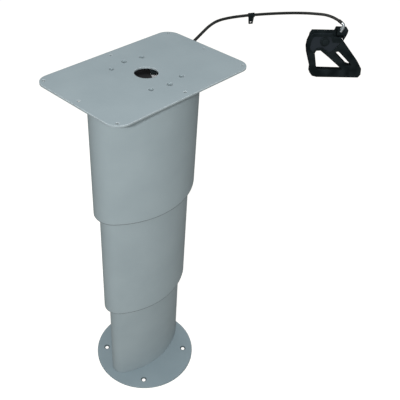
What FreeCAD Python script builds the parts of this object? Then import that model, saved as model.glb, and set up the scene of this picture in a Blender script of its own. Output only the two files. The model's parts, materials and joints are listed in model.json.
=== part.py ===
import FreeCAD, Part
import math
import os
import Sketcher
from FreeCAD import Placement, Rotation, Vector

# Telescoping pedestal table, millimetres.
# Origin: centre of the base disc's underside. +Z up, +X along the long axis of the oval
# stages and of the top plate. The release handle hangs from its cable on the +X side.

doc = FreeCAD.newDocument("TelescopingPedestal")
sheet = doc.addObject("Spreadsheet::Sheet", "Sizes")

SIZES = (
    # top plate
    ("plate_long", 300), ("plate_wide", 198), ("plate_thick", 3), ("plate_corner", 25),
    ("plate_top_z", 700), ("plate_window_d", 40),
    ("table_edge", 12), ("table_hole_d", 5), ("table_sink_d", 8),
    # base disc
    ("base_d", 218), ("base_thick", 3), ("base_pcd", 176), ("base_hole_d", 8),
    ("base_sink_d", 12.6),
    # the inner oval section: half length, half width, tip radius
    # each larger stage is a wall and a ring space wider
    ("inner_a", 92), ("inner_b", 42), ("inner_r", 20), ("ring_space_a", 8),
    ("ring_space_b", 9), ("ring_space_r", 6), ("tube_wall", 3), ("outer_end_z", 453),
    ("middle_end_z", 210),
    ("overlap", 50), ("travel", 180),
    # bearing rings
    ("slide_gap", 0.3), ("lip_thick", 1), ("guide_high", 24), ("ring_spare", 1),
    # foot
    ("foot_high", 20), ("foot_well", 24), ("foot_screw_x", 45), ("foot_screw_y", 18),
    ("foot_screw_d", 6), ("foot_head_d", 11.2), ("foot_screw_long", 18),
    # head casting and its screws
    ("head_high", 14), ("head_floor", 4), ("well_x0", 24), ("well_x1", 56),
    ("well_y0", 22), ("well_y1", 28), ("side_screw_x", 33.5), ("side_screw_in", 19.5),
    ("axis_screw_in", 12.5), ("side_screw_d", 5), ("side_head_d", 9.6), ("axis_head_d", 11),
    ("head_screw_long", 13), ("thread_spare", 1),
    # lockable gas spring
    ("spring_x", 24), ("cylinder_d", 28), ("cylinder_wall", 1.5), ("cylinder_cap", 5),
    ("rod_d", 10), ("rod_fit", 0.05), ("neck_d", 18), ("piston_high", 8),
    ("cylinder_spare", 45), ("bridge_wide", 40), ("bridge_high", 14), ("bridge_drop", 4),
    ("neck_nut_high", 3.5), ("neck_nut_d", 27), ("stud_proud", 0.2), ("lock_nut_high", 2.5),
    ("lock_nut_d", 19), ("valve_d", 3), ("valve_long", 22), ("valve_stroke", 2.5),
    ("bridge_screw_d", 5), ("bridge_head_d", 9), ("bridge_head_high", 2.6),
    ("bridge_screw_long", 22),
    # synchronising ropes
    ("rope_d", 1.5), ("roller_pitch_r", 6), ("roller_d", 13),
    ("roller_wide", 4.4), ("roller_z", 222), ("roller_room", 0.3), ("roller_pin_d", 3),
    ("pin_seat", 1.2), ("crimp_d", 4), ("crimp_long", 6), ("rope_room", 0.75),
    # release cam under the plate
    ("cam_x", 34), ("cam_y", 16), ("cam_wire_x", 42), ("cam_wire_y", 6),
    ("cam_thick", 3), ("cam_floor_gap", 5.5), ("cam_hub_r", 6), ("cam_tip_r", 6),
    ("cam_wire_r", 4.5), ("cam_screw_d", 5), ("cam_head_d", 8), ("cam_head_high", 1),
    ("ramp_reach", 6.5), ("ramp_wide", 5), ("cam_clear", 0.3),
    # cable
    ("conduit_d", 5.5), ("wire_d", 1.5), ("channel_wide", 10), ("channel_end", 74),
    ("way_out_from", 45), ("way_out_long", 30), ("stop_long", 12), ("grommet_from", 54.3),
    ("grommet_long", 15), ("grommet_taper", 9), ("grommet_tip_d", 8.4),
    ("grommet_play", 0.8), ("nipple_d", 5),
    # clip on the cable
    ("clip_wide", 12), ("clip_foot", 8), ("clip_wall", 1.6), ("clip_drop", 17.5),
    ("clip_tab", 3), ("clip_hole_d", 3.6),
    # release handle
    ("handle_x", 438.7), ("handle_y", -61.8), ("handle_z", 645), ("handle_turn", 45),
    ("lever_thick", 16), ("bracket_gap", 0.3), ("bracket_thick", 5), ("lever_edge_r", 2.5),
    ("pivot_d", 6), ("pivot_fit", 0.05), ("pivot_head_d", 11), ("pivot_head_high", 2.2),
    ("coil_r", 6), ("coil_wire_d", 1.2), ("coil_pitch", 1.6), ("coil_turns", 3),
    ("coil_well_d", 16), ("coil_well_deep", 6.2), ("web_deep", 3),
    ("boss_d", 19), ("lug_front", 2),
    ("cable_deep", 8), ("barrel_d", 6), ("barrel_long", 12), ("barrel_u", 21.9),
    ("barrel_w", 4.4), ("elbow_d", 6), ("elbow_leg", 14.6), ("mouth_d", 6.6),
    ("mouth_long", 8), ("sleeve_d", 8), ("sleeve_long", 9),
)

for row, (alias, number) in enumerate(SIZES, start=1):
    sheet.set("A%d" % row, alias)
    sheet.set("B%d" % row, str(number))
    sheet.setAlias("B%d" % row, alias)
doc.recompute()


class Size:
    """A number together with the spreadsheet expression that gives it."""

    def __init__(self, value, text):
        self.value = float(value)
        self.text = text

    def __add__(self, other):
        other = as_size(other)
        return Size(self.value + other.value, "(%s + %s)" % (self.text, other.text))

    def __sub__(self, other):
        other = as_size(other)
        return Size(self.value - other.value, "(%s - %s)" % (self.text, other.text))

    def __mul__(self, other):
        other = as_size(other)
        return Size(self.value * other.value, "(%s * %s)" % (self.text, other.text))

    def __truediv__(self, other):
        other = as_size(other)
        return Size(self.value / other.value, "(%s / %s)" % (self.text, other.text))

    def __neg__(self):
        return Size(-self.value, "(0 - %s)" % self.text)

    def __radd__(self, other):
        return as_size(other) + self

    def __rsub__(self, other):
        return as_size(other) - self

    def __rmul__(self, other):
        return as_size(other) * self


def as_size(number):
    return number if isinstance(number, Size) else Size(number, "(%s)" % repr(float(number)))


NUMBERS = dict(SIZES)


class Sheet:
    def __getattr__(self, alias):
        return Size(NUMBERS[alias], "Sizes.%s" % alias)


s = Sheet()
NODES = []


def name_node(obj, label):
    obj.Label = label
    NODES.append(obj)
    return obj


def bind(obj, path, size):
    obj.setExpression(path, as_size(size).text)


# ---------------------------------------------------------------- sketched bodies

def new_body(label):
    return name_node(doc.addObject("PartDesign::Body", label), label)


def sketch(body, plane="XY_Plane", lift=0):
    """A sketch on one of the body's own origin planes, lifted along its normal."""
    flat = body.newObject("Sketcher::SketchObject", "outline")
    origin = [f for f in body.Origin.OriginFeatures if f.Role == plane][0]
    flat.AttachmentSupport = [(origin, "")]
    flat.MapMode = "FlatFace"
    flat.AttachmentOffset = Placement(Vector(0, 0, as_size(lift).value), Rotation())
    bind(flat, "AttachmentOffset.Base.z", lift)
    return flat


def hold(flat, kind, points, size):
    """Adds a dimension and ties it to the sheet."""
    index = flat.addConstraint(Sketcher.Constraint(kind, *points, as_size(size).value))
    flat.setExpression("Constraints[%d]" % index, as_size(size).text)


def place_point(flat, geo, spot, x, y):
    for kind, axis, size in (("DistanceX", -2, as_size(x)), ("DistanceY", -1, as_size(y))):
        if abs(size.value) < 1e-9:
            flat.addConstraint(Sketcher.Constraint("PointOnObject", geo, spot, axis))
        elif size.value > 0:
            hold(flat, kind, (-1, 1, geo, spot), size)
        else:
            hold(flat, kind, (geo, spot, -1, 1), -size)


def circle(flat, x, y, d):
    x, y, d = as_size(x), as_size(y), as_size(d)
    shape = Part.Circle(Vector(x.value, y.value, 0), Vector(0, 0, 1), d.value / 2)
    geo = flat.addGeometry(shape, False)
    place_point(flat, geo, 3, x, y)
    hold(flat, "Radius", (geo,), d / 2)


def polygon(flat, corners):
    """A closed outline through (x, y) corners, each tied to its place."""
    spots = [(as_size(x), as_size(y)) for x, y in corners]
    lines = []
    for (x0, y0), (x1, y1) in zip(spots, spots[1:] + spots[:1]):
        line = Part.LineSegment(Vector(x0.value, y0.value, 0), Vector(x1.value, y1.value, 0))
        lines.append(flat.addGeometry(line, False))
    for here, after in zip(lines, lines[1:] + lines[:1]):
        flat.addConstraint(Sketcher.Constraint("Coincident", here, 2, after, 1))
    for line, (x, y) in zip(lines, spots):
        place_point(flat, line, 1, x, y)


def rectangle(flat, x0, y0, x1, y1):
    polygon(flat, ((x0, y0), (x1, y0), (x1, y1), (x0, y1)))


def oval(flat, section, inset=0):
    """Two shallow side arcs joined by two tip arcs, moved inwards by inset."""
    long_half, wide_half, tip = section
    a, b, r = long_half - inset, wide_half - inset, tip - inset
    reach = a - r
    side = (reach * reach + b * b - r * r) / (2 * (b - r))
    drop = side - b
    joint_x = reach + r * reach / (side - r)
    joint_y = r * drop / (side - r)
    phi = math.atan2(drop.value, reach.value)

    def arc(x, y, radius, start, end):
        full = Part.Circle(Vector(x, y, 0), Vector(0, 0, 1), radius)
        return flat.addGeometry(Part.ArcOfCircle(full, start, end), False)

    east = arc(reach.value, 0, r.value, -phi, phi)
    north = arc(0, -drop.value, side.value, phi, math.pi - phi)
    west = arc(-reach.value, 0, r.value, math.pi - phi, math.pi + phi)
    south = arc(0, drop.value, side.value, math.pi + phi, 2 * math.pi - phi)
    ring = (east, north, west, south)
    for here, after in zip(ring, ring[1:] + ring[:1]):
        flat.addConstraint(Sketcher.Constraint("Coincident", here, 2, after, 1))
    flat.addConstraint(Sketcher.Constraint("Symmetric", east, 1, east, 2, -1))
    flat.addConstraint(Sketcher.Constraint("Symmetric", west, 1, west, 2, -1))
    flat.addConstraint(Sketcher.Constraint("Symmetric", north, 1, north, 2, -2))
    hold(flat, "DistanceX", (-1, 1, east, 2), joint_x)
    hold(flat, "DistanceY", (-1, 1, east, 2), joint_y)
    hold(flat, "DistanceX", (-1, 1, east, 3), reach)
    hold(flat, "DistanceX", (west, 3, -1, 1), reach)
    hold(flat, "DistanceY", (north, 3, -1, 1), drop)
    hold(flat, "DistanceY", (-1, 1, south, 3), drop)


def pad(body, flat, length):
    feature = body.newObject("PartDesign::Pad", "pad")
    feature.Profile = flat
    feature.Length = as_size(length).value
    bind(feature, "Length", length)
    flat.Visibility = False
    body.Tip = feature
    return feature


def pocket(body, flat, length, upwards=False):
    """Cuts from the sketch downwards, or upwards."""
    feature = body.newObject("PartDesign::Pocket", "pocket")
    feature.Profile = flat
    feature.Length = as_size(length).value
    feature.Reversed = upwards
    bind(feature, "Length", length)
    flat.Visibility = False
    body.Tip = feature
    return feature


def edges_where(shape, test):
    return ["Edge%d" % i for i, edge in enumerate(shape.Edges, start=1) if test(edge)]


def is_ring_at(edge, z, d):
    """A whole circle of diameter d at height z."""
    curve = edge.Curve
    if not isinstance(curve, Part.Circle) or not edge.isClosed():
        return False
    at_z = abs(curve.Center.z - as_size(z).value) < 1e-4
    return at_z and abs(2 * curve.Radius - as_size(d).value) < 1e-4


def chamfer(body, base, names, size):
    feature = body.newObject("PartDesign::Chamfer", "chamfer")
    feature.Base = (base, names)
    feature.Size = as_size(size).value
    bind(feature, "Size", size)
    body.Tip = feature
    doc.recompute()
    return feature


def fillet(body, base, names, size):
    feature = body.newObject("PartDesign::Fillet", "fillet")
    feature.Base = (base, names)
    feature.Radius = as_size(size).value
    bind(feature, "Radius", size)
    body.Tip = feature
    doc.recompute()
    return feature


# ---------------------------------------------------------------- plain solids

def put(obj, x, y, z, rotation=None):
    obj.Placement = Placement(Vector(0, 0, 0), rotation or Rotation())
    bind(obj, "Placement.Base.x", x)
    bind(obj, "Placement.Base.y", y)
    bind(obj, "Placement.Base.z", z)
    return obj


def rod(x, y, z, d, length, rotation=None):
    obj = doc.addObject("Part::Cylinder", "rod")
    bind(obj, "Radius", as_size(d) / 2)
    bind(obj, "Height", length)
    return put(obj, x, y, z, rotation)


def cone(x, y, z, d_low, d_high, length, rotation=None):
    obj = doc.addObject("Part::Cone", "cone")
    bind(obj, "Radius1", as_size(d_low) / 2)
    bind(obj, "Radius2", as_size(d_high) / 2)
    bind(obj, "Height", length)
    return put(obj, x, y, z, rotation)


def hexagon(x, y, z, across, length, rotation=None):
    """A six-sided prism; across is measured over its flats."""
    obj = doc.addObject("Part::Prism", "hexagon")
    obj.Polygon = 6
    bind(obj, "Circumradius", as_size(across) / math.sqrt(3))
    bind(obj, "Height", length)
    return put(obj, x, y, z, rotation)


def join(*parts):
    obj = doc.addObject("Part::MultiFuse", "joined")
    obj.Shapes = list(parts)
    return obj


def cut(base, *tools):
    obj = doc.addObject("Part::Cut", "trimmed")
    obj.Base = base
    obj.Tool = tools[0] if len(tools) == 1 else join(*tools)
    return obj


UP = Rotation()
DOWN = Rotation(Vector(1, 0, 0), 180)
TO_Y = Rotation(Vector(1, 0, 0), -90)
TO_X = Rotation(Vector(0, 1, 0), 90)
TO_MINUS_X = Rotation(Vector(0, 1, 0), -90)


def flat_screw(label, x, y, z, shank, head, length, into):
    """A countersunk screw whose head is flush at z; into is UP or DOWN."""
    depth = (head - shank) / 2
    sign = -1 if into is DOWN else 1
    head_cone = cone(x, y, z, head, shank, depth, into)
    body = rod(x, y, z + sign * depth, shank, length - depth, into)
    socket = hexagon(x, y, z, shank * 0.6, depth * 0.9, into)
    return name_node(cut(join(head_cone, body), socket), label)


# ---------------------------------------------------------------- heights and sections

step_a = s.tube_wall + s.ring_space_a
step_b = s.tube_wall + s.ring_space_b
step_r = s.tube_wall + s.ring_space_r
inner = (s.inner_a, s.inner_b, s.inner_r)
middle_a = s.inner_a + step_a
middle_b = s.inner_b + step_b
middle = (middle_a, middle_b, s.inner_r + step_r)
outer_a = middle_a + step_a
outer_b = middle_b + step_b
outer = (outer_a, outer_b, s.inner_r + 2 * step_r)
rope_off = s.inner_b + s.ring_space_b / 2
plate_z = s.plate_top_z - s.plate_thick
head_z = plate_z - s.head_high
middle_top_z = s.outer_end_z + s.overlap
inner_top_z = s.middle_end_z + s.overlap
glide_high = s.overlap - s.guide_high - s.ring_spare
well_z = head_z + s.head_floor
cable_z = plate_z - s.conduit_d


def holes_at(flat, spots, d):
    for x, y in spots:
        circle(flat, x, y, d)


# ---------------------------------------------------------------- base disc and foot

diagonal = s.base_pcd / 2 * math.sqrt(0.5)
floor_holes = [(i * diagonal, j * diagonal) for i in (1, -1) for j in (1, -1)]
foot_spots = [(i * s.foot_screw_x, j * s.foot_screw_y) for i in (1, -1) for j in (1, -1)]

base = new_body("base_plate")
flat = sketch(base)
circle(flat, 0, 0, s.base_d)
disc = pad(base, flat, s.base_thick)
flat = sketch(base)
holes_at(flat, floor_holes, s.base_hole_d)
holes_at(flat, foot_spots, s.foot_screw_d + 0.4)
pocket(base, flat, s.base_thick, upwards=True)
doc.recompute()
top_rings = edges_where(base.Shape, lambda e: is_ring_at(e, s.base_thick, s.base_hole_d))
sunk = chamfer(base, base.Tip, top_rings, (s.base_sink_d - s.base_hole_d) / 2)
foot_rings = edges_where(
    base.Shape, lambda e: is_ring_at(e, 0, s.foot_screw_d + 0.4))
sunk = chamfer(base, sunk, foot_rings, (s.foot_head_d - s.foot_screw_d) / 2 - 0.2)
rim = edges_where(base.Shape, lambda e: is_ring_at(e, s.base_thick, s.base_d))
fillet(base, sunk, rim, s.base_thick / 3)

foot = new_body("foot_insert")
flat = sketch(foot, lift=s.base_thick)
oval(flat, inner, s.tube_wall)
pad(foot, flat, s.foot_high)
flat = sketch(foot, lift=s.base_thick)
holes_at(flat, foot_spots, s.foot_screw_d)
circle(flat, 0, 0, s.foot_well * 2)
pocket(foot, flat, s.foot_high, upwards=True)

for number, (x, y) in enumerate(foot_spots, start=1):
    flat_screw("foot_screw_%d" % number, x, y, 0, s.foot_screw_d, s.foot_head_d,
               s.foot_screw_long, UP)


# ---------------------------------------------------------------- oval tubes

def oval_tube(label, section, z_low, z_high):
    body = new_body(label)
    flat = sketch(body, lift=z_low)
    oval(flat, section)
    oval(flat, section, s.tube_wall)
    pad(body, flat, z_high - z_low)
    return body


oval_tube("tube_lower", inner, s.base_thick, inner_top_z - s.lip_thick)
oval_tube("tube_middle", middle, s.middle_end_z + s.lip_thick, middle_top_z - s.lip_thick)
upper_tube = oval_tube("tube_upper", outer, s.outer_end_z + s.lip_thick, plate_z)


# ---------------------------------------------------------------- bearing rings

def guide_ring(label, tube, runs_on, end_z):
    """Ring inside the lower end of a tube, with a lip that covers the tube's edge."""
    body = new_body(label)
    flat = sketch(body, lift=end_z)
    oval(flat, tube)
    oval(flat, runs_on, -s.slide_gap)
    pad(body, flat, s.lip_thick)
    flat = sketch(body, lift=end_z + s.lip_thick)
    oval(flat, tube, s.tube_wall)
    oval(flat, runs_on, -s.slide_gap)
    pad(body, flat, s.guide_high - s.lip_thick)
    return body


def glide_ring(label, tube, runs_in, top_z):
    """Ring outside the upper end of a tube, with a lip over the tube's edge."""
    body = new_body(label)
    flat = sketch(body, lift=top_z - glide_high)
    oval(flat, runs_in, s.tube_wall + s.slide_gap)
    oval(flat, tube)
    pad(body, flat, glide_high - s.lip_thick)
    flat = sketch(body, lift=top_z - s.lip_thick)
    oval(flat, runs_in, s.tube_wall + s.slide_gap)
    oval(flat, tube, s.tube_wall)
    pad(body, flat, s.lip_thick)
    return body


guide_upper = guide_ring("guide_upper", outer, middle, s.outer_end_z)
guide_middle = guide_ring("guide_middle", middle, inner, s.middle_end_z)
glide_middle = glide_ring("glide_middle", middle, outer, middle_top_z)
glide_lower = glide_ring("glide_lower", inner, middle, inner_top_z)

# slots for the rollers, open towards the top of the ring
slot_half = s.roller_d / 2 + s.roller_room
slot_wide = s.roller_wide + 2 * s.roller_room
ring_top_z = s.middle_end_z + s.guide_high
flat = sketch(guide_middle, lift=ring_top_z)
for side in (1, -1):
    near = side * (rope_off - slot_wide / 2)
    far = side * (rope_off + slot_wide / 2)
    rectangle(flat, -slot_half, near, slot_half, far)
pocket(guide_middle, flat, ring_top_z - s.roller_z + slot_half)

# holes for the long run of each rope and for the sleeve of its short run
flat = sketch(glide_lower, lift=inner_top_z)
for side in (1, -1):
    circle(flat, -s.roller_pitch_r, side * rope_off, s.rope_d + 2 * s.rope_room)
    circle(flat, s.roller_pitch_r, side * rope_off, s.crimp_d)
pocket(glide_lower, flat, glide_high)

# screw holes of the cross bar at both tips of the middle stage
bridge_top_z = middle_top_z - s.bridge_drop
bridge_mid_z = bridge_top_z - s.bridge_high / 2
for body, reach, d in ((doc.getObject("tube_middle"), middle_a, s.bridge_screw_d),
                       (glide_middle, outer_a, s.bridge_head_d)):
    flat = sketch(body, plane="YZ_Plane", lift=reach)
    circle(flat, 0, bridge_mid_z, d)
    pocket(body, flat, reach * 2)


# ---------------------------------------------------------------- synchronising ropes

rope_run_top = head_z + s.crimp_long
anchor_z = inner_top_z - s.lip_thick - s.crimp_long
for side, word in ((1, "rear"), (-1, "front")):
    rope_y = side * rope_off
    axle = rod(0, rope_y - s.roller_wide / 2, s.roller_z, s.roller_d, s.roller_wide, TO_Y)
    bore = rod(0, rope_y - s.roller_wide / 2, s.roller_z, s.roller_pin_d, s.roller_wide, TO_Y)
    groove = doc.addObject("Part::Torus", "groove")
    bind(groove, "Radius1", s.roller_pitch_r)
    bind(groove, "Radius2", s.rope_d / 2 + 0.1)
    put(groove, 0, rope_y, s.roller_z, TO_Y)
    name_node(cut(axle, bore, groove), "sync_roller_" + word)
    pin_long = slot_wide + 2 * s.pin_seat
    name_node(rod(0, rope_y - pin_long / 2, s.roller_z, s.roller_pin_d, pin_long, TO_Y),
              "roller_pin_" + word)
    name_node(rod(-s.roller_pitch_r, rope_y, s.roller_z, s.rope_d,
                  rope_run_top - s.roller_z), "sync_rope_long_" + word)
    name_node(rod(s.roller_pitch_r, rope_y, s.roller_z, s.rope_d,
                  anchor_z - s.roller_z), "sync_rope_short_" + word)
    loop = doc.addObject("Part::Torus", "loop")
    bind(loop, "Radius1", s.roller_pitch_r)
    bind(loop, "Radius2", s.rope_d / 2)
    loop.Angle3 = 180
    put(loop, 0, rope_y, s.roller_z, TO_Y)
    name_node(loop, "sync_rope_bend_" + word)
    name_node(cut(rod(-s.roller_pitch_r, rope_y, head_z, s.crimp_d, s.crimp_long),
                  rod(-s.roller_pitch_r, rope_y, head_z, s.rope_d, s.crimp_long)),
              "rope_crimp_upper_" + word)
    name_node(rod(s.roller_pitch_r, rope_y, anchor_z, s.crimp_d, s.crimp_long),
              "rope_crimp_lower_" + word)
for side in (1, -1):
    flat = sketch(guide_middle, plane="XZ_Plane",
                  lift=-side * (rope_off + slot_wide / 2 + s.pin_seat))
    circle(flat, 0, s.roller_z, s.roller_pin_d)
    pocket(guide_middle, flat, slot_wide + 2 * s.pin_seat, upwards=side > 0)


# ---------------------------------------------------------------- cross bar and gas spring

bridge = new_body("bridge_middle")
flat = sketch(bridge, lift=bridge_top_z - s.bridge_high)
oval(flat, middle, s.tube_wall)
pad(bridge, flat, s.bridge_high)
flat = sketch(bridge, lift=bridge_top_z - s.bridge_high)
for side in (1, -1):
    rectangle(flat, -middle_a, side * s.bridge_wide / 2, middle_a, side * middle_b)
circle(flat, s.spring_x, 0, s.neck_d)
pocket(bridge, flat, s.bridge_high, upwards=True)
flat = sketch(bridge, plane="YZ_Plane", lift=middle_a)
circle(flat, 0, bridge_mid_z, s.bridge_screw_d)
pocket(bridge, flat, s.bridge_screw_long)
flat = sketch(bridge, plane="YZ_Plane", lift=-middle_a)
circle(flat, 0, bridge_mid_z, s.bridge_screw_d)
pocket(bridge, flat, s.bridge_screw_long, upwards=True)

for word, sign, turn in (("left", -1, TO_X), ("right", 1, TO_MINUS_X)):
    seat = sign * middle_a
    crown = sign * (middle_a + s.bridge_head_high)
    head = rod(crown, 0, bridge_mid_z, s.bridge_head_d - 0.4, s.bridge_head_high, turn)
    shank = rod(seat, 0, bridge_mid_z, s.bridge_screw_d, s.bridge_screw_long, turn)
    socket = hexagon(crown, 0, bridge_mid_z, s.bridge_screw_d * 0.6,
                     s.bridge_head_high * 0.7, turn)
    name_node(cut(join(head, shank), socket), "bridge_screw_" + word)

bridge_low_z = bridge_top_z - s.bridge_high
cylinder_low_z = bridge_low_z - s.travel - s.cylinder_spare
bore_low_z = cylinder_low_z + s.cylinder_cap
bore_high_z = bridge_low_z - s.cylinder_cap
neck_top_z = bridge_top_z + s.neck_nut_high
shell = rod(s.spring_x, 0, cylinder_low_z, s.cylinder_d, bridge_low_z - cylinder_low_z)
neck = rod(s.spring_x, 0, bridge_low_z, s.neck_d, neck_top_z - bridge_low_z)
room = rod(s.spring_x, 0, bore_low_z, s.cylinder_d - 2 * s.cylinder_wall,
           bore_high_z - bore_low_z)
seal = rod(s.spring_x, 0, bore_high_z, s.rod_d + 2 * s.rod_fit, neck_top_z - bore_high_z)
name_node(cut(join(shell, neck), room, seal), "gas_spring_cylinder")
name_node(cut(hexagon(s.spring_x, 0, bridge_top_z, s.neck_nut_d, s.neck_nut_high),
              rod(s.spring_x, 0, bridge_top_z, s.neck_d, s.neck_nut_high)),
          "gas_spring_nut")

piston_z = bore_high_z - s.piston_high - s.ring_spare
stud_top_z = well_z + s.stud_proud + s.lock_nut_high
valve_low_z = stud_top_z - s.valve_long
stem = rod(s.spring_x, 0, piston_z, s.rod_d, stud_top_z - piston_z)
piston = rod(s.spring_x, 0, piston_z, s.cylinder_d - 2 * (s.cylinder_wall + s.rod_fit),
             s.piston_high)
hollow = rod(s.spring_x, 0, valve_low_z, s.valve_d + 2 * s.rod_fit,
             stud_top_z - valve_low_z)
name_node(cut(join(stem, piston), hollow), "gas_spring_rod")
name_node(cut(hexagon(s.spring_x, 0, well_z, s.lock_nut_d, s.lock_nut_high),
              rod(s.spring_x, 0, well_z, s.rod_d, s.lock_nut_high)), "rod_lock_nut")

cam_low_z = well_z + s.cam_floor_gap
valve_top_z = cam_low_z - s.cam_clear
name_node(rod(s.spring_x, 0, valve_low_z + s.valve_stroke + 1, s.valve_d,
              valve_top_z - valve_low_z - s.valve_stroke - 1), "valve_pin")


# ---------------------------------------------------------------- head casting and plate

side_screw_y = outer_b - s.side_screw_in
axis_screw_y = outer_b - s.axis_screw_in
side_spots = [(i * s.side_screw_x, j * side_screw_y) for i in (1, -1) for j in (1, -1)]
axis_spots = [(0, axis_screw_y), (0, -axis_screw_y)]

# the cable's route, chosen by hand: from the cam under the plate, out through the wall of
# the upper stage and round to the elbow above the handle; heights of the first places are
# measured from the cable's line under the plate, the last three places from the pivot
FROM_PLATE = (
    (50, 8.3, 0), (107, 27, 0), (153, 42.5, -0.3), (193, 58, 0), (237.5, 76, -0.5),
    (272, 82, -0.2), (314, 69.2, 0), (363, 41, 0.5), (407, 9.6, 0.8))
FROM_PIVOT = ((-1.2, 42.4, 47.4), (22.8, 7.2, 47), (28.5, -12.9, 36.2))
ROUTE = tuple((x, y, cable_z.value + z) for x, y, z in FROM_PLATE)
ROUTE += tuple((s.handle_x.value + x, s.handle_y.value + y, s.handle_z.value + z)
               for x, y, z in FROM_PIVOT)
cable_turn = math.degrees(math.atan2(ROUTE[1][1] - ROUTE[0][1], ROUTE[1][0] - ROUTE[0][0]))
ALONG_CABLE = Rotation(Vector(0, 0, 1), cable_turn).multiply(TO_X)


def on_first_run(distance):
    """A place on the cable's first straight run, measured from its start."""
    angle = math.radians(cable_turn)
    distance = as_size(distance)
    x = ROUTE[0][0] + distance * math.cos(angle)
    y = ROUTE[0][1] + distance * math.sin(angle)
    return x, y


head = new_body("head_casting")
flat = sketch(head, lift=head_z)
oval(flat, outer, s.tube_wall)
pad(head, flat, s.head_high)
flat = sketch(head, lift=plate_z)
rectangle(flat, -s.well_x0, -s.well_y0, s.well_x1, s.well_y1)
pocket(head, flat, s.head_high - s.head_floor)
flat = sketch(head, lift=plate_z)
channel_x, channel_y = on_first_run(s.channel_end)
angle = math.radians(cable_turn)
dx = s.channel_wide / 2 * math.sin(angle)
dy = s.channel_wide / 2 * math.cos(angle)
start_x, start_y = ROUTE[0][0], ROUTE[0][1]
polygon(flat, ((start_x + dx, start_y - dy), (channel_x + dx, channel_y - dy),
               (channel_x - dx, channel_y + dy), (start_x - dx, start_y + dy)))
pocket(head, flat, s.conduit_d + s.channel_wide / 2)
flat = sketch(head, lift=head_z)
circle(flat, s.spring_x, 0, s.rod_d)
circle(flat, s.cam_x, s.cam_y, s.cam_screw_d)
for side in (1, -1):
    circle(flat, -s.roller_pitch_r, side * rope_off, s.crimp_d)
pocket(head, flat, s.head_high, upwards=True)
flat = sketch(head, lift=plate_z)
holes_at(flat, side_spots + axis_spots, s.side_screw_d)
pocket(head, flat, s.head_screw_long - s.plate_thick + s.thread_spare)

# way through the wall of the upper stage for the cable's grommet
wall_x, wall_y = on_first_run(s.way_out_from)
way_out = rod(wall_x, wall_y, cable_z, s.channel_wide, s.way_out_long, ALONG_CABLE)
NODES.remove(upper_tube)
upper_tube.Label = "upper_section"
name_node(cut(upper_tube, way_out), "tube_upper")

plate = new_body("top_plate")
flat = sketch(plate, lift=plate_z)
rectangle(flat, -s.plate_long / 2, -s.plate_wide / 2, s.plate_long / 2, s.plate_wide / 2)
slab = pad(plate, flat, s.plate_thick)
doc.recompute()
uprights = edges_where(
    plate.Shape, lambda e: abs(e.BoundBox.ZLength - s.plate_thick.value) < 0.01)
rounded = fillet(plate, slab, uprights, s.plate_corner)
flat = sketch(plate, lift=plate_z)
table_x = s.plate_long / 2 - s.table_edge
table_y = s.plate_wide / 2 - s.table_edge
table_spots = [(i * table_x, j * table_y) for i in (-1, 0, 1) for j in (-1, 0, 1)
               if (i, j) != (0, 0)]
circle(flat, 0, 0, s.plate_window_d)
holes_at(flat, side_spots + axis_spots, s.side_screw_d + 0.4)
holes_at(flat, table_spots, s.table_hole_d)
pocket(plate, flat, s.plate_thick, upwards=True)
doc.recompute()


def ring_near(edge, z, d, spots):
    if not is_ring_at(edge, z, d):
        return False
    here = edge.Curve.Center
    return any(math.hypot(here.x - as_size(x).value, here.y - as_size(y).value) < 0.01
               for x, y in spots)


clear_d = s.side_screw_d + 0.4
for spots, head_d in ((side_spots, s.side_head_d), (axis_spots, s.axis_head_d)):
    rings = edges_where(plate.Shape, lambda e: ring_near(e, s.plate_top_z, clear_d, spots))
    chamfer(plate, plate.Tip, rings, (head_d - s.side_screw_d) / 2 - 0.2)
# the table's screws come up from below, so these holes are sunk on the underside
rings = edges_where(plate.Shape, lambda e: ring_near(e, plate_z, s.table_hole_d, table_spots))
chamfer(plate, plate.Tip, rings, (s.table_sink_d - s.table_hole_d) / 2)

for number, (x, y) in enumerate(side_spots, start=1):
    flat_screw("plate_screw_%d" % number, x, y, s.plate_top_z, s.side_screw_d,
               s.side_head_d, s.head_screw_long, DOWN)
for word, (x, y) in zip(("rear", "front"), axis_spots):
    flat_screw("plate_screw_" + word, x, y, s.plate_top_z, s.side_screw_d,
               s.axis_head_d, s.head_screw_long, DOWN)


# ---------------------------------------------------------------- release cam

cam_back_x = s.spring_x - s.cam_tip_r * 1.3
cam = new_body("cam_blank")
NODES.remove(cam)
flat = sketch(cam, lift=cam_low_z)
polygon(flat, ((s.spring_x - s.cam_tip_r / 2, -s.cam_tip_r),
               (s.spring_x + s.cam_tip_r / 2, -s.cam_tip_r),
               (s.cam_wire_x + s.cam_wire_r / 2, s.cam_wire_y - s.cam_wire_r),
               (s.cam_wire_x + s.cam_wire_r * 0.8, s.cam_wire_y + s.cam_wire_r / 4),
               (s.cam_x + s.cam_hub_r, s.cam_y + s.cam_hub_r / 2),
               (s.cam_x + s.cam_hub_r / 6, s.cam_y + s.cam_hub_r),
               (s.cam_x - s.cam_hub_r * 0.8, s.cam_y + s.cam_hub_r * 0.7),
               (cam_back_x, s.cam_tip_r * 1.3), (cam_back_x, 0)))
pad(cam, flat, s.cam_thick)
flat = sketch(cam, lift=cam_low_z)
circle(flat, s.cam_x, s.cam_y, s.cam_screw_d + 2 * s.pivot_fit)
circle(flat, s.cam_wire_x, s.cam_wire_y, s.nipple_d)
pocket(cam, flat, s.cam_thick, upwards=True)

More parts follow.
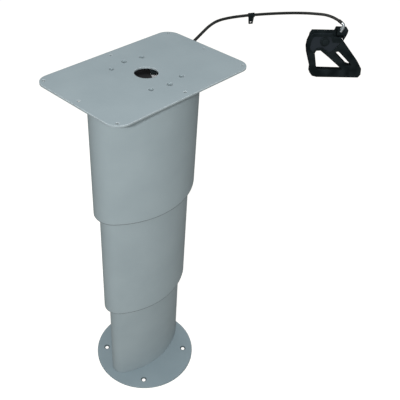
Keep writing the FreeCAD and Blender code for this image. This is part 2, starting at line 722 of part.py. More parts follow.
# the wedge that presses the valve pin, trailing the way the cam turns
arm_x = NUMBERS["spring_x"] - NUMBERS["cam_x"]
arm_y = -NUMBERS["cam_y"]
back = Vector(arm_y, -arm_x, 0).normalize()
ramp = doc.addObject("Part::Wedge", "ramp")
for path, size in (("Xmin", s.ramp_reach + s.valve_d / 2), ("Xmax", s.ramp_reach + s.valve_d),
                   ("X2min", s.valve_d / 2), ("X2max", s.ramp_reach + s.valve_d),
                   ("Ymin", -s.valve_stroke), ("Ymax", 0),
                   ("Zmin", -s.ramp_wide / 2), ("Zmax", s.ramp_wide / 2),
                   ("Z2min", -s.ramp_wide / 2), ("Z2max", s.ramp_wide / 2)):
    bind(ramp, path, size)
upright = Vector(0, 0, 1)
put(ramp, s.spring_x, 0, cam_low_z, Rotation(back, upright, back.cross(upright), "XYZ"))
name_node(join(cam, ramp), "release_cam")

cam_head_z = cam_low_z + s.cam_thick + s.cam_clear
name_node(join(rod(s.cam_x, s.cam_y, head_z, s.cam_screw_d, cam_head_z - head_z),
               rod(s.cam_x, s.cam_y, cam_head_z, s.cam_head_d, s.cam_head_high)),
          "cam_pivot_screw")
nipple_low_z = cable_z - s.wire_d
name_node(rod(s.cam_wire_x, s.cam_wire_y, nipple_low_z, s.nipple_d,
              cam_low_z + s.cam_thick - nipple_low_z), "cam_nipple")


# ---------------------------------------------------------------- cable

def on_cable(distance, d, length):
    x, y = on_first_run(distance)
    return rod(x, y, cable_z, d, length, ALONG_CABLE)


name_node(cut(on_cable(0, s.channel_wide, s.stop_long),
              on_cable(s.stop_long / 4, s.conduit_d, s.stop_long),
              on_cable(-1, s.wire_d, s.stop_long)), "cable_stop")

taper_x, taper_y = on_first_run(s.grommet_from + s.grommet_long)
taper = cone(taper_x, taper_y, cable_z, s.channel_wide, s.grommet_tip_d, s.grommet_taper,
             ALONG_CABLE)
name_node(cut(join(on_cable(s.grommet_from, s.channel_wide, s.grommet_long), taper),
              on_cable(s.grommet_from - 1, s.conduit_d + 2 * s.grommet_play,
                       s.grommet_long + s.grommet_taper + 2)), "cable_grommet")


def rounded_path(points, share=0.45):
    """Straight runs joined by tangent arcs; also gives the tightest radius."""
    corners = [Vector(*point) for point in points]
    edges = []
    radii = []
    start = corners[0]
    for before, here, after in zip(corners, corners[1:], corners[2:]):
        into = (here - before).normalize()
        out = (after - here).normalize()
        turn = into.getAngle(out)
        back_off = share * min((here - before).Length, (after - here).Length)
        radii.append(back_off / math.tan(turn / 2))
        first = here - into * back_off
        last = here + out * back_off
        centre_way = (out - into).normalize()
        centre = here + centre_way * (radii[-1] / math.cos(turn / 2))
        mid = centre - centre_way * radii[-1]
        edges.append(Part.LineSegment(start, first).toShape())
        edges.append(Part.Arc(first, mid, last).toShape())
        start = last
    edges.append(Part.LineSegment(start, corners[-1]).toShape())
    return Part.Wire(edges), min(radii)


def tube_along(label, points, d, share=0.45):
    path, tightest = rounded_path(points, share)
    heading = Vector(*points[1]) - Vector(*points[0])
    ring = Part.Wire([Part.Circle(Vector(*points[0]), heading, d.value / 2).toShape()])
    body = path.makePipeShell([ring], True, True)
    piece = doc.addObject("Part::Feature", label)
    piece.Shape = body
    thick = math.pi * d.value ** 2 / 4
    print("%s: length %.1f, tightest radius %.1f, volume share %.4f"
          % (label, path.Length, tightest, body.Volume / (path.Length * thick)))
    return piece


stop_front = Vector(*ROUTE[0]) + (Vector(*ROUTE[1]) - Vector(*ROUTE[0])).normalize().multiply(
    NUMBERS["stop_long"] / 4)
conduit_route = (tuple(stop_front),) + ROUTE[1:]
name_node(tube_along("cable_conduit", conduit_route, s.conduit_d), "cable_conduit")

clip_from, clip_to = Vector(*ROUTE[6]), Vector(*ROUTE[7])
clip_mid = (clip_from + clip_to) * 0.5
clip_way = (clip_to - clip_from).normalize()
across = Vector(0, 0, 1).cross(clip_way).normalize()
CLIP_TURN = Rotation(clip_way, across.cross(clip_way), across, "XYZ")
clip_d = s.conduit_d + 2 * s.clip_wall


def clip_rod(d, length):
    start = clip_mid - clip_way * (length.value / 2)
    return rod(start.x, start.y, start.z, d, length, Rotation(Vector(0, 0, 1), clip_way))


# the clip's tab narrows downwards; its outline runs along the cable and down
tab = new_body("clip_tab_blank")
NODES.remove(tab)
flat = sketch(tab, lift=-s.clip_tab / 2)
polygon(flat, ((-s.clip_wide / 2, 0), (s.clip_wide / 2, 0), (s.clip_foot / 2, s.clip_drop),
               (-s.clip_foot / 2, s.clip_drop)))
pad(tab, flat, s.clip_tab)
put(tab, clip_mid.x, clip_mid.y, clip_mid.z, CLIP_TURN)
hole_from = clip_mid - across * NUMBERS["clip_wide"]
clip_hole = rod(hole_from.x, hole_from.y, clip_mid.z - s.clip_drop + s.clip_hole_d,
                s.clip_hole_d, 2 * s.clip_wide, Rotation(Vector(0, 0, 1), across))
name_node(cut(join(clip_rod(clip_d, s.clip_wide), tab),
              clip_rod(s.conduit_d, 3 * s.clip_wide), clip_hole), "cable_clip")


# ---------------------------------------------------------------- release handle
# Local frame of the handle: u to its right, w upwards, t out of its front face.

turn = math.radians(NUMBERS["handle_turn"])
U_WAY = Vector(math.cos(turn), -math.sin(turn), 0)
T_WAY = Vector(-math.sin(turn), -math.cos(turn), 0)
HANDLE = Rotation(U_WAY, Vector(0, 0, 1), T_WAY, "XYZ")


def at_handle(u, w, t):
    u, w, t = as_size(u), as_size(w), as_size(t)
    return (s.handle_x + U_WAY.x * u + T_WAY.x * t, s.handle_y + U_WAY.y * u + T_WAY.y * t,
            s.handle_z + w)


def hang(obj):
    """Puts a piece that is drawn in the handle's frame where the handle hangs."""
    return put(obj, s.handle_x, s.handle_y, s.handle_z, HANDLE)


WIRE_WAY = Vector(-0.40, -0.916, 0).normalize()
WIRE_TURN = HANDLE.multiply(Rotation(Vector(0, 0, 1), WIRE_WAY))
SLEEVE_FOOT = (28.9, 19.6)


def along_wire(start, d, length):
    """A rod on the wire's line; start is measured down the wire from the sleeve's foot."""
    start = as_size(start)
    u = SLEEVE_FOOT[0] + start * WIRE_WAY.x
    w = SLEEVE_FOOT[1] + start * WIRE_WAY.y
    return rod(*at_handle(u, w, -s.cable_deep), d, length, WIRE_TURN)


LEVER_OUTLINE = (
    (-24.5, 16.3), (12.5, 16.8), (17, 10), (31, 10), (34.5, 5), (78, -44), (87, -57),
    (88.5, -70.5), (84, -77.3), (-3.5, -78.3), (-13.5, -76), (-19.8, -68.5),
    (-20.5, -57.2), (-31.6, -27.9), (-34.8, -14.4), (-34.3, -2), (-30.5, 11))
GRIP_OPENING = ((-13.5, -20), (-5.5, -19.5), (13.9, -33.8), (46, -59.2), (45, -61.2),
                (-6.3, -61.2), (-16, -25))
SLIT = ((25, -22.5), (31, -20.6), (34.5, -22.6), (64, -49.5), (62.5, -51.5), (55, -49.6))
WEB_OUTLINE = (
    (-22.5, 10.5), (9, 11), (13, 5), (15.5, -1), (29, -1), (31.5, -4), (22, -16), (14, -24),
    (-3, -13), (-14, -14.5), (-20, -22), (-26, -19), (-28.5, -12), (-28, -2), (-25, 8))
BRACKET_OUTLINE = (
    (-30, 10), (-26, 17.5), (19.5, 18), (21.5, 25.3), (42.8, 25.3), (42.8, 20), (41.3, 14),
    (37.2, 3), (30, -8), (14, -16), (-14, -16), (-30, -8))
LUG_OUTLINE = (
    (22, 14.5), (35.6, 14.5), (35.6, 6), (37.2, 3), (41.3, 14), (42.8, 20), (42.8, 25.3),
    (22, 25.3))

lever = new_body("lever_blank")
NODES.remove(lever)
flat = sketch(lever, lift=-s.lever_thick)
polygon(flat, LEVER_OUTLINE)
block = pad(lever, flat, s.lever_thick)
flat = sketch(lever, lift=-s.lever_thick)
polygon(flat, GRIP_OPENING)
polygon(flat, SLIT)
circle(flat, 0, 0, s.pivot_d + 2 * s.pivot_fit)
pocket(lever, flat, s.lever_thick, upwards=True)
doc.recompute()


def on_rim(edge):
    """Outline edges of the lever's front face, not those of its bore."""
    box = edge.BoundBox
    return abs(box.ZMin) < 1e-6 and abs(box.ZMax) < 1e-6 and not edge.isClosed()


fillet(lever, lever.Tip, edges_where(lever.Shape, on_rim), s.lever_edge_r)
# thinned web with a boss round the pivot
flat = sketch(lever, lift=-s.web_deep)
polygon(flat, WEB_OUTLINE)
circle(flat, 0, 0, s.boss_d)
pocket(lever, flat, s.web_deep, upwards=True)
flat = sketch(lever, lift=-s.lever_thick)
circle(flat, 0, 0, s.coil_well_d)
pocket(lever, flat, s.coil_well_deep, upwards=True)
hang(lever)
barrel_low = -s.cable_deep - s.barrel_long / 2
barrel_seat = rod(*at_handle(s.barrel_u, s.barrel_w, barrel_low), s.barrel_d,
                  s.barrel_long, HANDLE)
name_node(cut(lever, barrel_seat), "handle_lever")
name_node(rod(*at_handle(s.barrel_u, s.barrel_w, barrel_low), s.barrel_d, s.barrel_long,
              HANDLE), "wire_barrel")

bracket_front = -s.lever_thick - s.bracket_gap
bracket_back = bracket_front - s.bracket_thick
bracket = new_body("bracket_blank")
NODES.remove(bracket)
flat = sketch(bracket, lift=bracket_back)
polygon(flat, BRACKET_OUTLINE)
pad(bracket, flat, s.bracket_thick)
flat = sketch(bracket, lift=bracket_front)
polygon(flat, LUG_OUTLINE)
pad(bracket, flat, -s.lug_front - bracket_front)
# notch that lets the cable's ferrule drop into the lug from the front
notch = [(SLEEVE_FOOT[0] + a * WIRE_WAY.x - b * WIRE_WAY.y,
          SLEEVE_FOOT[1] + a * WIRE_WAY.y + b * WIRE_WAY.x)
         for a, b in ((0, -s.sleeve_d / 2), (0, s.sleeve_d / 2),
                      (-s.sleeve_long, s.sleeve_d / 2), (-s.sleeve_long, -s.sleeve_d / 2))]
flat = sketch(bracket, lift=-s.cable_deep)
polygon(flat, notch)
pocket(bracket, flat, s.cable_deep, upwards=True)
flat = sketch(bracket, lift=bracket_back)
circle(flat, 0, 0, s.pivot_d)
pocket(bracket, flat, s.bracket_thick, upwards=True)
hang(bracket)
name_node(cut(bracket, along_wire(-s.sleeve_long, s.sleeve_d, s.sleeve_long),
              along_wire(-1, s.wire_d + 0.6, 3 * s.barrel_d)), "handle_bracket")

pin = new_body("handle_pivot_pin")
flat = sketch(pin, lift=bracket_back)
circle(flat, 0, 0, s.pivot_d)
pad(pin, flat, s.bracket_gap - bracket_back)
flat = sketch(pin, lift=s.bracket_gap)
circle(flat, 0, 0, s.pivot_head_d)
pad(pin, flat, s.pivot_head_high)
hang(pin)

coil_line = Part.makeHelix(NUMBERS["coil_pitch"], NUMBERS["coil_pitch"] * NUMBERS["coil_turns"],
                           NUMBERS["coil_r"])
coil_ring = Part.Circle(Vector(NUMBERS["coil_r"], 0, 0), Vector(0, 1, 0),
                        NUMBERS["coil_wire_d"] / 2)
coil = doc.addObject("Part::Feature", "handle_spring")
coil.Shape = Part.Wire(coil_line.Edges).makePipeShell([Part.Wire([coil_ring.toShape()])],
                                                      True, True)
put(coil, *at_handle(0, 0, bracket_front + s.coil_wire_d / 2), HANDLE)
name_node(coil, "handle_spring")

sleeve = along_wire(-s.sleeve_long, s.sleeve_d, s.sleeve_long)
name_node(cut(sleeve, along_wire(-s.sleeve_long - 1, s.elbow_d, s.sleeve_long + 2)),
          "cable_ferrule")

# elbow: from the conduit's mouth, over the corner, down through the ferrule
corner = (SLEEVE_FOOT[0] - s.elbow_leg * WIRE_WAY.x, SLEEVE_FOOT[1] - s.elbow_leg * WIRE_WAY.y)
elbow_foot = tuple(size.value for size in at_handle(*SLEEVE_FOOT, -s.cable_deep))
elbow_top = tuple(size.value for size in at_handle(*corner, -s.cable_deep))
name_node(tube_along("cable_elbow", (ROUTE[-1], elbow_top, elbow_foot), s.elbow_d, 0.75),
          "cable_elbow")
mouth_way = (Vector(*ROUTE[-1]) - Vector(*ROUTE[-2])).normalize()
mouth_from = Vector(*ROUTE[-1]) - mouth_way * NUMBERS["mouth_long"]
MOUTH_TURN = Rotation(Vector(0, 0, 1), mouth_way)
name_node(cut(rod(mouth_from.x, mouth_from.y, mouth_from.z, s.mouth_d, s.mouth_long,
                  MOUTH_TURN),
              rod(mouth_from.x, mouth_from.y, mouth_from.z, s.conduit_d, s.mouth_long,
                  MOUTH_TURN)), "cable_mouth")


# ---------------------------------------------------------------- check and export

doc.recompute()
doc.recompute()
for obj in doc.Objects:
    if "Invalid" in obj.State or "Error" in obj.State:
        raise RuntimeError("%s (%s): %s" % (obj.Name, obj.Label, obj.State))
os.makedirs("parts", exist_ok=True)
for node in NODES:
    shape = node.Shape
    if shape.isNull() or not shape.isValid():
        raise RuntimeError("%s has no valid shape" % node.Label)
    if len(shape.Solids) != 1:
        print("%s has %d solids" % (node.Label, len(shape.Solids)))
    shape.exportStep("parts/%s.step" % node.Label)
print("%d pieces" % len(NODES))
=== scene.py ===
import json
import math

import bmesh
import bpy
from mathutils import Matrix, Vector


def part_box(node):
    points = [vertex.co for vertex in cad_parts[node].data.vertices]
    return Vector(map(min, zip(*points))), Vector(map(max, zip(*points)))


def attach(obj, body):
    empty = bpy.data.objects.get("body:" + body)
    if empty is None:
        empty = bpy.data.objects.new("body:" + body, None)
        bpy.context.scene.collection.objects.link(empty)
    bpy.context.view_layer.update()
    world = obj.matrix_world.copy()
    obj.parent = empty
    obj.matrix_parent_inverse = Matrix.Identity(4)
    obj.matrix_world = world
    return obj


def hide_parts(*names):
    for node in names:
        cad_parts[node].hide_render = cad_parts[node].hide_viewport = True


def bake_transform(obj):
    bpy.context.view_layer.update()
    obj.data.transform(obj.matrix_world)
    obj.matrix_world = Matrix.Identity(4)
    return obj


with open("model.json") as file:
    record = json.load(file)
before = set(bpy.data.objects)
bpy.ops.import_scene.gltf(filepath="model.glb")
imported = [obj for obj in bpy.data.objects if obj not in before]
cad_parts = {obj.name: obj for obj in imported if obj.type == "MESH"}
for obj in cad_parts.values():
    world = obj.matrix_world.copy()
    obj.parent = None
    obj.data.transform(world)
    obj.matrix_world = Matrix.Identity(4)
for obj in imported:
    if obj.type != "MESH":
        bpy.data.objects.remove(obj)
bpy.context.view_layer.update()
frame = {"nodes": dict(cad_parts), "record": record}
MM = 0.001

# ---------------------------------------------------------------- camera

CAMERA_AT = (-0.624037, -0.657640, 1.151970)
YAW, PITCH, ROLL = (math.radians(a) for a in (43.101, 38.897, 2.407))
PHOTO = 400
FOCAL_PX, CENTRE_X_PX, CENTRE_Y_PX = 613.057, 173.948, 208.235
SENSOR_MM = 36
CLIP_START, CLIP_END = 0.05, 20


def add_camera():
    """The camera solved from the photo: yaw from +X, pitch downwards, a slight roll."""
    look = Vector((math.cos(PITCH) * math.cos(YAW), math.cos(PITCH) * math.sin(YAW),
                   -math.sin(PITCH)))
    level = Vector((math.sin(YAW), -math.cos(YAW), 0))
    above = level.cross(look)
    right = math.cos(ROLL) * level + math.sin(ROLL) * above
    up = -math.sin(ROLL) * level + math.cos(ROLL) * above
    data = bpy.data.cameras.new("camera")
    data.sensor_width = SENSOR_MM
    data.lens = FOCAL_PX * SENSOR_MM / PHOTO
    data.shift_x = (PHOTO / 2 - CENTRE_X_PX) / PHOTO
    data.shift_y = (CENTRE_Y_PX - PHOTO / 2) / PHOTO
    data.clip_start, data.clip_end = CLIP_START, CLIP_END
    camera = bpy.data.objects.new("camera", data)
    turn = Matrix((right, up, -look)).transposed().to_4x4()
    camera.matrix_world = Matrix.Translation(CAMERA_AT) @ turn
    bpy.context.scene.collection.objects.link(camera)
    bpy.context.scene.camera = camera


add_camera()


# ---------------------------------------------------------------- materials

PATCH_FROM, PATCH_TO = 0.35, 0.65      # noise values of the two patch colours
GRAIN_DETAIL, PATCH_DETAIL = 2.0, 3.0
GRAIN_DEPTH = 0.05 * MM
ROUGHNESS_SPREAD = 0.05
COAT_ROUGHNESS = 0.25
EDGE_SAMPLES = 6
WHOLE_EDGE, WEAR_AND_HIGHLIGHT_EDGE = 0.995, 0.85    # cosine between the flat and the rounded normal
EDGE_BREAKUP_SCALE = 220.0
CONE_NORMAL_Z = math.sqrt(0.5)         # of a 45 degree cone
CONE_REACH = 0.12
# painted shade inside the countersinks
CONE_SHADE_COLOUR = (0.10, 0.13, 0.14)
WEB_DEPTH = 0.918                      # x plus y, in shares of the lever's box, at its web
WEB_REACH = 0.012
# a painted sheen on the lever's web
WEB_SHEEN_COLOUR = (0.026, 0.0325, 0.0395)


def new_material(name):
    material = bpy.data.materials.new(name)
    material.use_nodes = True
    tree = material.node_tree
    return material, tree, tree.nodes["Principled BSDF"]


def node(tree, kind, **sockets):
    """A new node with values set by socket name, a space in it written as _."""
    made = tree.nodes.new(kind)
    for key, value in sockets.items():
        made.inputs[key.replace("_", " ")].default_value = value
    return made


def math_node(tree, operation, *values):
    """The result socket of a math node on sockets or plain numbers."""
    made = tree.nodes.new("ShaderNodeMath")
    made.operation = operation
    for place, value in zip(made.inputs, values):
        if isinstance(value, (int, float)):
            place.default_value = value
        else:
            tree.links.new(value, place)
    return made.outputs[0]


def split(tree, vector):
    """The X, Y and Z sockets of a vector socket."""
    made = tree.nodes.new("ShaderNodeSeparateXYZ")
    tree.links.new(vector, made.inputs[0])
    return made.outputs


def ramp(tree, source, low, high):
    """Turns a noise value into a blend of two colours."""
    made = tree.nodes.new("ShaderNodeValToRGB")
    first, last = made.color_ramp.elements
    first.position, first.color = PATCH_FROM, (*low, 1)
    last.position, last.color = PATCH_TO, (*high, 1)
    tree.links.new(source, made.inputs["Fac"])
    return made.outputs["Color"]


def noise(tree, scale, detail=PATCH_DETAIL, stretch=(1, 1, 1)):
    place = tree.nodes.new("ShaderNodeTexCoord")
    stretched = node(tree, "ShaderNodeMapping", Scale=stretch)
    tree.links.new(place.outputs["Object"], stretched.inputs["Vector"])
    made = node(tree, "ShaderNodeTexNoise", Scale=scale, Detail=detail)
    tree.links.new(stretched.outputs["Vector"], made.inputs["Vector"])
    return made.outputs["Fac"]


def blend_colour(tree, factor, colour, other):
    """Mixes a plain colour into a colour socket by a 0 to 1 socket."""
    mixed = tree.nodes.new("ShaderNodeMix")
    mixed.data_type = "RGBA"
    sockets = {socket.name: socket for socket in mixed.inputs if socket.type == "RGBA"}
    tree.links.new(factor, mixed.inputs["Factor"])
    tree.links.new(colour, sockets["A"])
    sockets["B"].default_value = (*other, 1)
    return next(socket for socket in mixed.outputs if socket.type == "RGBA")


def wear_and_highlight_edges(tree, colour, edge, edge_wear_and_highlight, share):
    """Blends a pale colour in where the rounded normal leaves the flat one: partly wear of
    the edges, partly a painted highlight on them.
    """
    flat = tree.nodes.new("ShaderNodeNewGeometry")
    facing = tree.nodes.new("ShaderNodeVectorMath")
    facing.operation = "DOT_PRODUCT"
    tree.links.new(flat.outputs["Normal"], facing.inputs[0])
    tree.links.new(edge.outputs["Normal"], facing.inputs[1])
    at_edge = node(tree, "ShaderNodeMapRange", From_Min=WHOLE_EDGE, From_Max=WEAR_AND_HIGHLIGHT_EDGE,
                   To_Min=0.0, To_Max=share)
    tree.links.new(facing.outputs["Value"], at_edge.inputs["Value"])
    broken = math_node(tree, "MULTIPLY", at_edge.outputs["Result"], noise(tree, EDGE_BREAKUP_SCALE))
    return blend_colour(tree, broken, colour, edge_wear_and_highlight)


def painted_cone_shade(tree, colour):
    """Paints shade into the 45 degree cones of countersunk holes, as a darker colour."""
    normal = tree.nodes.new("ShaderNodeNewGeometry").outputs["True Normal"]
    cone = math_node(tree, "COMPARE", split(tree, normal)["Z"], CONE_NORMAL_Z, CONE_REACH)
    return blend_colour(tree, cone, colour, CONE_SHADE_COLOUR)


def painted_web_sheen(tree, colour):
    """Paints a sheen onto the web of the release lever, which lies below its rim, as a
    lighter colour.
    """
    across = split(tree, tree.nodes.new("ShaderNodeTexCoord").outputs["Generated"])
    depth = math_node(tree, "ADD", across["X"], across["Y"])
    web = math_node(tree, "COMPARE", depth, WEB_DEPTH, WEB_REACH)
    return blend_colour(tree, web, colour, WEB_SHEEN_COLOUR)


def surface(name, low, high, rough, metal=0.0, grain=900.0, patch=14.0, bump=0.08,
            round_mm=0.4, stretch=(1, 1, 1), coat=0.0, shine=0.5, edge_wear_and_highlight=None, share=0.5,
            layer=None):
    """A finish with slow colour patches, a fine grain in its bump and softened edges."""
    material, tree, shader = new_material(name)
    edge = node(tree, "ShaderNodeBevel", Radius=round_mm * MM)
    edge.samples = EDGE_SAMPLES
    colour = ramp(tree, noise(tree, patch), low, high)
    if edge_wear_and_highlight:
        colour = wear_and_highlight_edges(tree, colour, edge, edge_wear_and_highlight, share)
    if layer:
        colour = layer(tree, colour)
    tree.links.new(colour, shader.inputs["Base Color"])
    shader.inputs["Metallic"].default_value = metal
    shader.inputs["Coat Weight"].default_value = coat
    shader.inputs["Coat Roughness"].default_value = COAT_ROUGHNESS
    shader.inputs["Specular IOR Level"].default_value = shine
    fine = noise(tree, grain, GRAIN_DETAIL, stretch)
    spread = node(tree, "ShaderNodeMapRange", To_Min=rough - ROUGHNESS_SPREAD,
                  To_Max=rough + ROUGHNESS_SPREAD)
    tree.links.new(fine, spread.inputs["Value"])
    tree.links.new(spread.outputs["Result"], shader.inputs["Roughness"])
    relief = node(tree, "ShaderNodeBump", Strength=bump, Distance=GRAIN_DEPTH)
    tree.links.new(fine, relief.inputs["Height"])
    tree.links.new(edge.outputs["Normal"], relief.inputs["Normal"])
    tree.links.new(relief.outputs["Normal"], shader.inputs["Normal"])
    return material


COAT_GREYS = (0.293, 0.352, 0.376), (0.312, 0.372, 0.396)
COATED = {"rough": 0.66, "grain": 1600, "bump": 0.25, "shine": 0.1}
# the pale edge colours in these finishes are partly wear, partly a painted highlight on the
# edges
MOULDED = {"rough": 0.8, "grain": 1100, "patch": 45, "bump": 0.12, "round_mm": 0.9,
           "shine": 0.01, "edge_wear_and_highlight": (0.07, 0.08, 0.082), "share": 0.9}

FINISH = {
    "coated_aluminium": surface("coat_grey", *COAT_GREYS, **COATED, round_mm=0.5,
                                edge_wear_and_highlight=(0.50, 0.55, 0.57), share=0.8),
    "cast_aluminium": surface("cast_alloy", (0.42, 0.43, 0.44), (0.50, 0.51, 0.52), 0.5,
                              metal=1.0, grain=700, bump=0.3),
    "black_casting": surface("cast_black", (0.012, 0.012, 0.013), (0.022, 0.022, 0.024), 0.5,
                             grain=700, bump=0.3, shine=0.25),
    "ring_plastic": surface("ring_grey", (0.085, 0.100, 0.102), (0.105, 0.122, 0.124), 0.5),
    "zinc_steel": surface("zinc", (0.45, 0.49, 0.51), (0.60, 0.64, 0.66), 0.30, metal=0.8,
                          grain=400, round_mm=0.2),
    "ground_steel": surface("ground", (0.62, 0.62, 0.63), (0.70, 0.70, 0.71), 0.16,
                            metal=1.0, grain=2500, stretch=(1, 1, 0.05)),
    "black_enamel": surface("enamel", (0.012, 0.012, 0.013), (0.018, 0.018, 0.019), 0.25,
                            coat=0.5),
    "brass": surface("brass", (0.55, 0.40, 0.17), (0.66, 0.50, 0.24), 0.35, metal=1.0),
    "roller_nylon": surface("nylon", (0.60, 0.59, 0.54), (0.68, 0.67, 0.62), 0.45),
    "black_plastic": surface("moulded_black", (0.006, 0.009, 0.010), (0.017, 0.0235, 0.026),
                             **MOULDED),
    "cable_sheath": surface("sheath_black", (0.006, 0.007, 0.0065), (0.013, 0.015, 0.014),
                            0.42, grain=500, round_mm=0.2, shine=0.25),
}

# finishes of single pieces, in place of their slot's
OWN_FINISH = {
    # the plate's pale rim colour, blended past full share, paints a highlight along its edges
    "top_plate": surface("coat_grey_plate", *COAT_GREYS, **COATED, round_mm=2.2,
                         edge_wear_and_highlight=(0.60, 0.66, 0.69), share=1.4),
    "base_plate": surface("coat_grey_foot", (0.262, 0.330, 0.362), (0.280, 0.350, 0.382),
                          **COATED, round_mm=0.5, edge_wear_and_highlight=(0.42, 0.47, 0.49), share=0.8,
                          layer=painted_cone_shade),
    "handle_lever": surface("moulded_black_lever", (0.006, 0.009, 0.010),
                            (0.015, 0.0205, 0.023), **MOULDED, layer=painted_web_sheen),
    # a pale, less metallic zinc that paints a highlight onto the nut
    "rod_lock_nut": surface("zinc_painted_highlight", (0.70, 0.72, 0.74), (0.82, 0.84, 0.86), 0.35,
                            metal=0.4, grain=400, round_mm=0.3),
}
SCREW_FINISH = surface("zinc_dulled", (0.20, 0.25, 0.27), (0.29, 0.35, 0.37), 0.5, metal=0.35,
                       grain=400, round_mm=0.2, shine=0.3)

SLOT_OF = {part["node"]: part["material_slot"] for part in frame["record"]["subparts"]}
SHARP_ANGLE = math.radians(30)


def smooth(mesh, sharp_angle=None):
    """Shades a mesh smooth, but for edges sharper than an angle where one is given."""
    for face in mesh.polygons:
        face.use_smooth = True
    if sharp_angle:
        mesh.set_sharp_from_angle(angle=sharp_angle)


for name, piece in frame["nodes"].items():
    piece.data.materials.clear()
    piece.data.materials.append(OWN_FINISH.get(name, FINISH[SLOT_OF[name]]))
    smooth(piece.data, SHARP_ANGLE)


# ---------------------------------------------------------------- cable

CABLE_ROUTE_MM = (
    (52.851, 9.235, 691.5), (107, 27, 691.5), (153, 42.5, 691.2), (193, 58, 691.5),
    (237.5, 76, 691), (272, 82, 691.3), (314, 69.2, 691.5), (363, 41, 692),
    (407, 9.6, 692.3), (437.5, -19.4, 692.4), (461.5, -54.6, 692), (467.2, -74.7, 681.2),
)
CABLE_D = 5.5 * MM
CABLE_ROUNDNESS = 8      # steps round a quarter of the section
CABLE_FINENESS = 24      # steps along each span of the route


def add_cable():
    """The sheathed cable from the stop under the plate to the elbow at the handle."""
    data = bpy.data.curves.new("cable", "CURVE")
    data.dimensions = "3D"
    data.bevel_depth = CABLE_D / 2
    data.bevel_resolution = CABLE_ROUNDNESS
    data.resolution_u = CABLE_FINENESS
    data.use_fill_caps = True
    line = data.splines.new("NURBS")
    line.points.add(len(CABLE_ROUTE_MM) - 1)
    for point, place in zip(line.points, CABLE_ROUTE_MM):
        point.co = (*(MM * x for x in place), 1)
    line.order_u = 3
    line.use_endpoint_u = True
    cable = bpy.data.objects.new("cable", data)
    bpy.context.scene.collection.objects.link(cable)
    data.materials.append(FINISH["cable_sheath"])
    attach(cable, "upper")
    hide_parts("cable_conduit")


add_cable()


# ---------------------------------------------------------------- pieces from loops

def piece_of_loops(name, loops, finish, sharp_angle=None):
    """A closed mesh through loops of points, each loop with as many points."""
    shape = bmesh.new()
    rows = [[shape.verts.new(point) for point in loop] for loop in loops]
    for row, next_row in zip(rows, rows[1:]):
        for i in range(len(row)):
            after = (i + 1) % len(row)
            shape.faces.new((row[i], row[after], next_row[after], next_row[i]))
    shape.faces.new(list(reversed(rows[0])))
    shape.faces.new(rows[-1])
    bmesh.ops.recalc_face_normals(shape, faces=shape.faces)
    mesh = bpy.data.meshes.new(name)
    shape.to_mesh(mesh)
    shape.free()
    smooth(mesh, sharp_angle)
    mesh.materials.append(finish)
    piece = bpy.data.objects.new(name, mesh)
    bpy.context.scene.collection.objects.link(piece)
    return piece


# ---------------------------------------------------------------- plate screws

PLATE_TOP_MM = 700
SCREW_STEPS = 48
SCREW_SHARP_ANGLE = math.radians(35)
PLATE_SCREWS = (("plate_screw_1", 33.5, 46.5, 9.6), ("plate_screw_2", 33.5, -46.5, 9.6),
                ("plate_screw_3", -33.5, 46.5, 9.6), ("plate_screw_4", -33.5, -46.5, 9.6),
                ("plate_screw_rear", 0, 53.5, 11), ("plate_screw_front", 0, -53.5, 11))

# a screw's profile in millimetres, heights from the face of the plate
SOCKET = ((1.9, -3.0), (1.95, -1.2))                # half the width across flats, height
DISH_FOOT = (2.3, -0.95)                            # radius, height
RIM = ((0.9, -0.45), (0.35, -0.05), (0.1, -0.02), (0, -0.25))   # in from the head, height
SHANK_R = 2.5
TIP = ((0, -12.4), (0.6, -13.0))                    # in from the shank, height


def hexagon_radius(half_across, angle):
    """How far a hexagon's side lies from its middle in one direction."""
    sixth = math.pi / 3
    return half_across / math.cos((angle + sixth / 2) % sixth - sixth / 2)


def screw_loop(radius, height, hexed):
    """One ring of points round a screw's axis, in metres."""
    loop = []
    for i in range(SCREW_STEPS):
        angle = 2 * math.pi * i / SCREW_STEPS
        reach = hexagon_radius(radius, angle) if hexed else radius
        loop.append((MM * reach * math.cos(angle), MM * reach * math.sin(angle), MM * height))
    return loop


def add_plate_screw(name, x, y, head):
    """A countersunk screw with a dished face and a six-sided socket."""
    head_r = head / 2
    loops = [screw_loop(radius, height, True) for radius, height in SOCKET]
    loops.append(screw_loop(*DISH_FOOT, False))
    loops += [screw_loop(head_r - inwards, height, False) for inwards, height in RIM]
    loops.append(screw_loop(SHANK_R, SHANK_R - head_r, False))
    loops += [screw_loop(SHANK_R - inwards, height, False) for inwards, height in TIP]
    piece = piece_of_loops("dished_" + name, loops, SCREW_FINISH, SCREW_SHARP_ANGLE)
    piece.matrix_world = Matrix.Translation((MM * x, MM * y, MM * PLATE_TOP_MM))
    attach(piece, "upper")
    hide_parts(name)


for screw in PLATE_SCREWS:
    add_plate_screw(*screw)


# ---------------------------------------------------------------- wire ropes

ROPE_RUNS = (("sync_rope_long_front", "upper"), ("sync_rope_long_rear", "upper"),
             ("sync_rope_short_front", "base"), ("sync_rope_short_rear", "base"))
STRANDS = 6
STEPS_PER_STRAND = 6
ROPE_LAY = 10 * MM       # length of one turn of a strand
ROPE_STEP = 0.2          # of the lay
LEAST_ROPE_STEPS = 12
GROOVE = 0.1             # depth between strands, in shares of the rope's radius


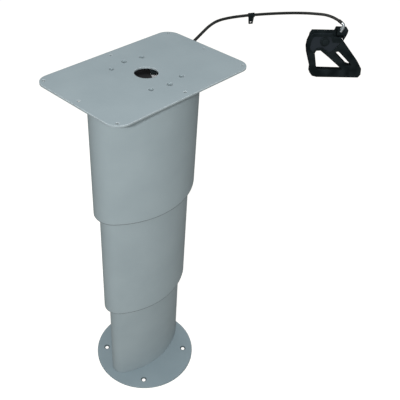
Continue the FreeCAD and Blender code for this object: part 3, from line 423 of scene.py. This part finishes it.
def add_rope_run(name):
    """A twisted rope over the height of the piece that it stands in for."""
    corner, far_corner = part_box(name)
    x, y = (corner[0] + far_corner[0]) / 2, (corner[1] + far_corner[1]) / 2
    foot, top = corner[2], far_corner[2]
    radius = (far_corner[0] - corner[0]) / 2
    around = STEPS_PER_STRAND * STRANDS
    steps = max(LEAST_ROPE_STEPS, round((top - foot) / (ROPE_STEP * ROPE_LAY)))
    loops = []
    for k in range(steps + 1):
        height = foot + (top - foot) * k / steps
        loop = []
        for i in range(around):
            angle = 2 * math.pi * i / around
            twist = angle - 2 * math.pi * height / ROPE_LAY
            reach = radius * (1 - GROOVE + GROOVE * abs(math.cos(STRANDS / 2 * twist)))
            loop.append((x + reach * math.cos(angle), y + reach * math.sin(angle), height))
        loops.append(loop)
    rope = piece_of_loops("run_of_" + name, loops, FINISH[SLOT_OF[name]])
    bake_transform(rope)
    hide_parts(name)


for rope_name, holder in ROPE_RUNS:
    add_rope_run(rope_name)


# ---------------------------------------------------------------- light and floor

WHITE = (1, 1, 1, 1)
FILL_COLOUR, FILL_STRENGTH = (0.97, 0.99, 1.0, 1), 0.355
FLOOR_HALF = 4.0
FLOOR_COLOUR, FLOOR_ROUGHNESS = (0.50, 0.48, 0.44, 1), 0.9
FLOOR_GLOW = 0.75

# name, place, aim, size in metres, watts, colour
LAMPS = (
    ("key", (-1.24, -1.09, 1.605), (0, 0, 0.45), 0.06, 21, (1.0, 0.99, 0.98)),
    ("side", (-1.5, -1.4, 1.2), (0, 0, 0.5), 1.2, 8, (0.95, 0.98, 1.0)),
    ("top", (0, 0, 5.0), (0, 0, 0.4), 2.0, 72, (0.97, 0.99, 1.0)),
)


def backdrop_rays(tree):
    """1 for the camera's own rays, which see a white backdrop."""
    return tree.nodes.new("ShaderNodeLightPath").outputs["Is Camera Ray"]


def add_world():
    """A soft fill on the object, and white where the camera sees past it."""
    world = bpy.data.worlds.new("studio")
    bpy.context.scene.world = world
    world.use_nodes = True
    tree = world.node_tree
    tree.nodes.clear()
    out = tree.nodes.new("ShaderNodeOutputWorld")
    seen = node(tree, "ShaderNodeBackground", Color=WHITE, Strength=1.0)
    fill = node(tree, "ShaderNodeBackground", Color=FILL_COLOUR, Strength=FILL_STRENGTH)
    which = tree.nodes.new("ShaderNodeMixShader")
    tree.links.new(backdrop_rays(tree), which.inputs[0])
    tree.links.new(fill.outputs[0], which.inputs[1])
    tree.links.new(seen.outputs[0], which.inputs[2])
    tree.links.new(which.outputs[0], out.inputs["Surface"])


def add_lamp(name, at, to, size, watts, colour):
    data = bpy.data.lights.new(name, "AREA")
    data.shape = "SQUARE"
    data.size = size
    data.energy = watts
    data.color = colour
    lamp = bpy.data.objects.new(name, data)
    lamp.location = at
    lamp.rotation_euler = (Vector(to) - Vector(at)).to_track_quat("-Z", "Y").to_euler()
    bpy.context.scene.collection.objects.link(lamp)


def add_floor():
    """A pale floor that takes the object's shadow and glows for the camera's own rays."""
    mesh = bpy.data.meshes.new("floor")
    corners = [(-FLOOR_HALF, -FLOOR_HALF, 0), (FLOOR_HALF, -FLOOR_HALF, 0),
               (FLOOR_HALF, FLOOR_HALF, 0), (-FLOOR_HALF, FLOOR_HALF, 0)]
    mesh.from_pydata(corners, [], [(0, 1, 2, 3)])
    floor = bpy.data.objects.new("floor", mesh)
    bpy.context.scene.collection.objects.link(floor)
    material, tree, shader = new_material("floor_white")
    shader.inputs["Base Color"].default_value = FLOOR_COLOUR
    shader.inputs["Roughness"].default_value = FLOOR_ROUGHNESS
    glow = node(tree, "ShaderNodeEmission", Color=WHITE)
    strength = math_node(tree, "MULTIPLY", backdrop_rays(tree), FLOOR_GLOW)
    tree.links.new(strength, glow.inputs["Strength"])
    both = tree.nodes.new("ShaderNodeAddShader")
    tree.links.new(shader.outputs["BSDF"], both.inputs[0])
    tree.links.new(glow.outputs[0], both.inputs[1])
    tree.links.new(both.outputs[0], tree.nodes["Material Output"].inputs["Surface"])
    mesh.materials.append(material)


add_world()
for lamp_row in LAMPS:
    add_lamp(*lamp_row)
add_floor()
bpy.context.scene.view_settings.view_transform = "Standard"
